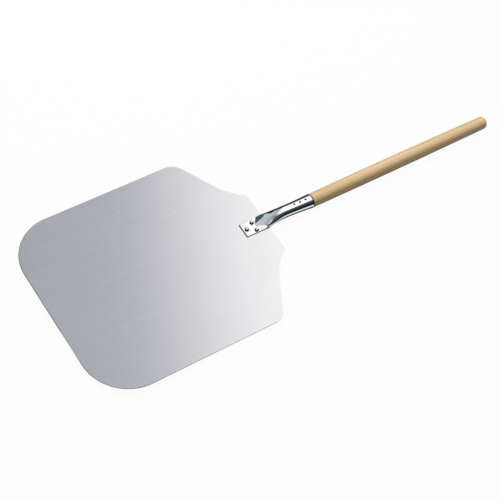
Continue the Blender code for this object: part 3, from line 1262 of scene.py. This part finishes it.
@dataclass
class Studio:
    """White floor, pale surroundings, soft lights and the camera.

    A bank stop is a place along the bank and its colour there. A reach is a left, a right and a last end.
    """

    floor_size: float = 12.0
    floor_drop: float = 0.4 * MM
    floor_seen: float = 0.96
    floor_bounced: float = 0.25
    strip_near: tuple[float, float] = (0.022, 0.032)
    strip_far: tuple[float, float] = (0.095, 0.065)
    strip_glow: float = 0.85
    camera_place: Vector = Vector((-1.0774, -0.9943, 1.9906))
    camera_elevation: float = math.radians(55.31)
    camera_azimuth: float = math.radians(45.72)
    camera_roll: float = math.radians(15.26)
    camera_lens: float = 101.66
    camera_shift: tuple[float, float] = (-0.001, 0.001)
    key_place: Vector = Vector((0.2, 1.2, 2.08))
    key_aim: Vector = Vector((0.1, 0.0, 0.0))
    key_size: float = 1.6
    key_power: float = 54.0
    ambient: tuple[float, float, float] = (0.21, 0.195, 0.13)
    bright: tuple[float, float, float] = (1.25, 1.25, 1.24)
    pale: tuple[float, float, float] = (0.62, 0.63, 0.65)
    gap_low: tuple[float, float, float] = (0.004, 0.005, 0.005)
    gap_high: tuple[float, float, float] = (0.075, 0.115, 0.125)
    gap_far: tuple[float, float, float] = (0.004, 0.004, 0.006)
    bank_height: float = 1.5
    bank_near: float = -0.37
    bank_slant: float = 0.42
    bank_reach: tuple[float, float, float] = (-2.0, 3.0, 3.0)
    card_reach: tuple[float, float, float] = (-1.4, -0.38, -1.4)
    bank_dusk: tuple[float, float, float] = (0.05, 0.09, 0.10)
    card_glow: tuple[float, float, float] = (1.15, 1.15, 1.15)
    bank_stops: tuple[tuple[float, tuple[float, float, float]], ...] = (
        (-0.32, (0.06, 0.105, 0.12)),
        (-0.20, (0.52, 0.55, 0.60)),
        (-0.08, (0.68, 0.68, 0.73)),
        (0.05, (0.46, 0.49, 0.545)),
        (0.20, (0.42, 0.42, 0.48)),
        (0.35, (0.52, 0.50, 0.56)),
        (0.50, (0.99, 0.97, 0.99)),
        (0.70, (1.22, 1.21, 1.17)),
        (1.20, (1.45, 1.45, 1.42)),
    )

    def build(self) -> None:
        """Makes the whole studio."""
        self.build_camera()
        self.build_floor()
        self.build_surroundings()
        self.build_bank()
        self.build_lights()
        bpy.context.scene.view_settings.view_transform = "Standard"

    def build_camera(self) -> None:
        """Sets the camera at its place, turned and rolled as held."""
        up, level = math.sin, math.cos
        e, a, roll = self.camera_elevation, self.camera_azimuth, self.camera_roll
        forward = Vector((level(e) * up(a), level(e) * level(a), -up(e)))
        right = forward.cross(Vector((0.0, 0.0, 1.0))).normalized()
        down = forward.cross(right)
        held_right = right * math.cos(roll) - down * math.sin(roll)
        held_down = right * math.sin(roll) + down * math.cos(roll)
        data = bpy.data.cameras.new("camera")
        data.lens = self.camera_lens
        data.sensor_width = 36.0
        data.shift_x, data.shift_y = self.camera_shift
        data.clip_start, data.clip_end = 0.05, 50.0
        camera = bpy.data.objects.new("camera", data)
        turned = Matrix((held_right, -held_down, -forward)).transposed()
        camera.matrix_world = Matrix.Translation(self.camera_place) @ turned.to_4x4()
        bpy.context.scene.collection.objects.link(camera)
        bpy.context.scene.camera = camera

    def build_floor(self) -> None:
        """Lays the floor just under the peel's lowest point."""
        builder = bmesh.new()
        bmesh.ops.create_grid(builder, x_segments=8, y_segments=8, size=self.floor_size / 2)
        floor = make_piece("floor", builder, Edge.SOFT, Vector((0.0, 0.0, -self.floor_drop)))
        floor.data.materials.append(self.floor_material())

    def floor_material(self) -> bpy.types.Material:
        """White floor, nearly shadowless to the eye; in reflections, dark but for one strip."""
        material, graph, shader = new_material("white_floor")
        material.cycles.emission_sampling = "NONE"
        path = graph.node("ShaderNodeLightPath").outputs
        place = graph.parts(graph.place())
        aside = graph.times(place["Y"], -1.0)
        strip = graph.times(graph.spread(aside, *self.strip_near), graph.spread(aside, *self.strip_far))
        strip = graph.plus(0.01, graph.times(strip, self.strip_glow))
        seen = graph.times(path["Is Camera Ray"], self.floor_seen)
        mirrored = graph.times(path["Is Glossy Ray"], strip)
        bounced = graph.times(path["Is Diffuse Ray"], self.floor_bounced)
        strength = graph.plus(seen, graph.plus(mirrored, bounced))
        graph.feed(shader, {"Base Color": (0.03, 0.03, 0.03, 1.0), "Roughness": 0.9})
        graph.feed(shader, {"Specular IOR Level": 0.0})
        graph.feed(shader, {"Emission Color": (1.0, 1.0, 1.0, 1.0), "Emission Strength": strength})
        return material

    def build_surroundings(self) -> None:
        """White to the eye; in reflections, bright overhead, pale at the sides and dark in one gap."""
        world = bpy.data.worlds.new("studio")
        world.use_nodes = True
        world.cycles.sampling_method = "NONE"
        bpy.context.scene.world = world
        graph = Graph(world.node_tree)
        back = world.node_tree.nodes["Background"]
        way = graph.node("ShaderNodeTexCoord").outputs["Generated"]
        parts = graph.parts(way)
        lean = graph.dot(way, (1.0, 0.0, 0.6))
        slab = graph.times(graph.spread(lean, 0.16, 0.28), graph.spread(parts["X"], 0.62, 0.50))
        teal = graph.spread(parts["Z"], 0.17, 0.85)
        near = graph.mix(teal, self.gap_low, self.gap_high)
        gap = graph.mix(graph.spread(parts["Y"], -0.05, 0.20), near, self.gap_far)
        wall = graph.mix(slab, self.pale, gap)
        high = graph.spread(graph.dot(way, (0.4, 0.0, 1.0)), 0.54, 0.58)
        bright = graph.times(high, graph.spread(parts["Y"], 0.0, 0.05))
        mirrored = graph.mix(bright, wall, self.bright)
        path = graph.node("ShaderNodeLightPath").outputs
        around = graph.mix(path["Is Diffuse Ray"], mirrored, self.ambient)
        colour = graph.mix(path["Is Camera Ray"], around, (1.0, 1.0, 1.0))
        graph.feed(back, {"Color": colour})

    def bank_edge(self, x: float) -> float:
        """Y of the bank's near edge."""
        return self.bank_near - self.bank_slant * x

    def build_bank(self) -> None:
        """Hangs a graduated light bank and a white card beside it overhead, seen only in reflections."""
        builder = bmesh.new()
        for left, right, end in (self.bank_reach, self.card_reach):
            edge = [(left, self.bank_edge(left)), (right, self.bank_edge(right))]
            corners = edge + [(right, end), (left, end)]
            builder.faces.new([builder.verts.new((x, y, self.bank_height)) for x, y in corners])
        bank = make_piece("light_bank", builder, Edge.SOFT)
        bank.data.materials.append(self.bank_material())
        for kind in ("camera", "diffuse", "shadow", "transmission", "volume_scatter"):
            setattr(bank, f"visible_{kind}", False)

    def bank_material(self) -> bpy.types.Material:
        """Glow of the bank, which changes from the blade's front towards the handle, and of the card."""
        material, graph, shader = new_material("graduated_light")
        material.cycles.emission_sampling = "NONE"
        place = graph.place()
        parts = graph.parts(place)
        aside = graph.larger(graph.minus(parts["Y"], self.bank_height / 2), -0.45)
        along = graph.minus(parts["X"], graph.times(aside, 0.5))
        low, high = self.bank_stops[0][0], self.bank_stops[-1][0]
        stops = [((value - low) / (high - low), colour) for value, colour in self.bank_stops]
        glow = graph.ramp(graph.spread(along, low, high, shape="LINEAR"), stops)
        inwards = graph.dot(place, (self.bank_slant, 1.0, 0.0))
        fade = graph.spread(inwards, self.bank_near + 0.65, self.bank_near)
        fade = graph.times(fade, graph.spread(along, 0.62, 0.38))
        glow = graph.mix(graph.times(fade, 0.6), glow, self.bank_dusk)
        card = graph.spread(inwards, self.bank_near + 0.01, self.bank_near - 0.01)
        glow = graph.mix(card, glow, self.card_glow)
        graph.feed(shader, {"Base Color": (0.0, 0.0, 0.0, 1.0), "Specular IOR Level": 0.0})
        graph.feed(shader, {"Emission Color": glow, "Emission Strength": 1.0})
        return material

    def build_lights(self) -> None:
        """One large key light above the +Y side, mostly for the wood."""
        data = bpy.data.lights.new("key", "AREA")
        data.size = self.key_size
        data.energy = self.key_power
        light = bpy.data.objects.new("key", data)
        light.location = self.key_place
        light.rotation_euler = (self.key_aim - self.key_place).to_track_quat("-Z", "Y").to_euler()
        light.visible_glossy = False
        light.visible_camera = False
        bpy.context.scene.collection.objects.link(light)


def main() -> None:
    """Builds the studio, then the peel piece by piece."""
    logging.basicConfig(level=logging.INFO, format="%(name)s %(message)s")
    Studio().build()
    rivets = [Rivet.from_node(f"rivet_{side}", 2.1 * MM) for side in ("front", "rear_left", "rear_right")]
    nails = [Nail(f"nail_{side}") for side in ("front", "middle", "rear")]
    steel = FastenerFinish().material()
    dull = FastenerFinish("dull_steel", (0.20, 0.19, 0.18)).material()
    ferrule = Ferrule()
    sheet, edge = SheetFinish().material(), ShearedFinish().material()
    show(Blade().build(rivets), "blade", "blade_aluminium", sheet, edge)
    show(ferrule.build(rivets), "ferrule", "ferrule_chrome", ChromeFinish().material())
    show(Handle().build(ferrule), "handle", "handle_wood", WoodFinish().material())
    for rivet in rivets:
        show(rivet.build(), rivet.node, "fastener_steel", steel)
    for nail in nails:
        show(nail.build(), nail.node, "fastener_steel", dull)


if __name__ == "__main__":
    main()
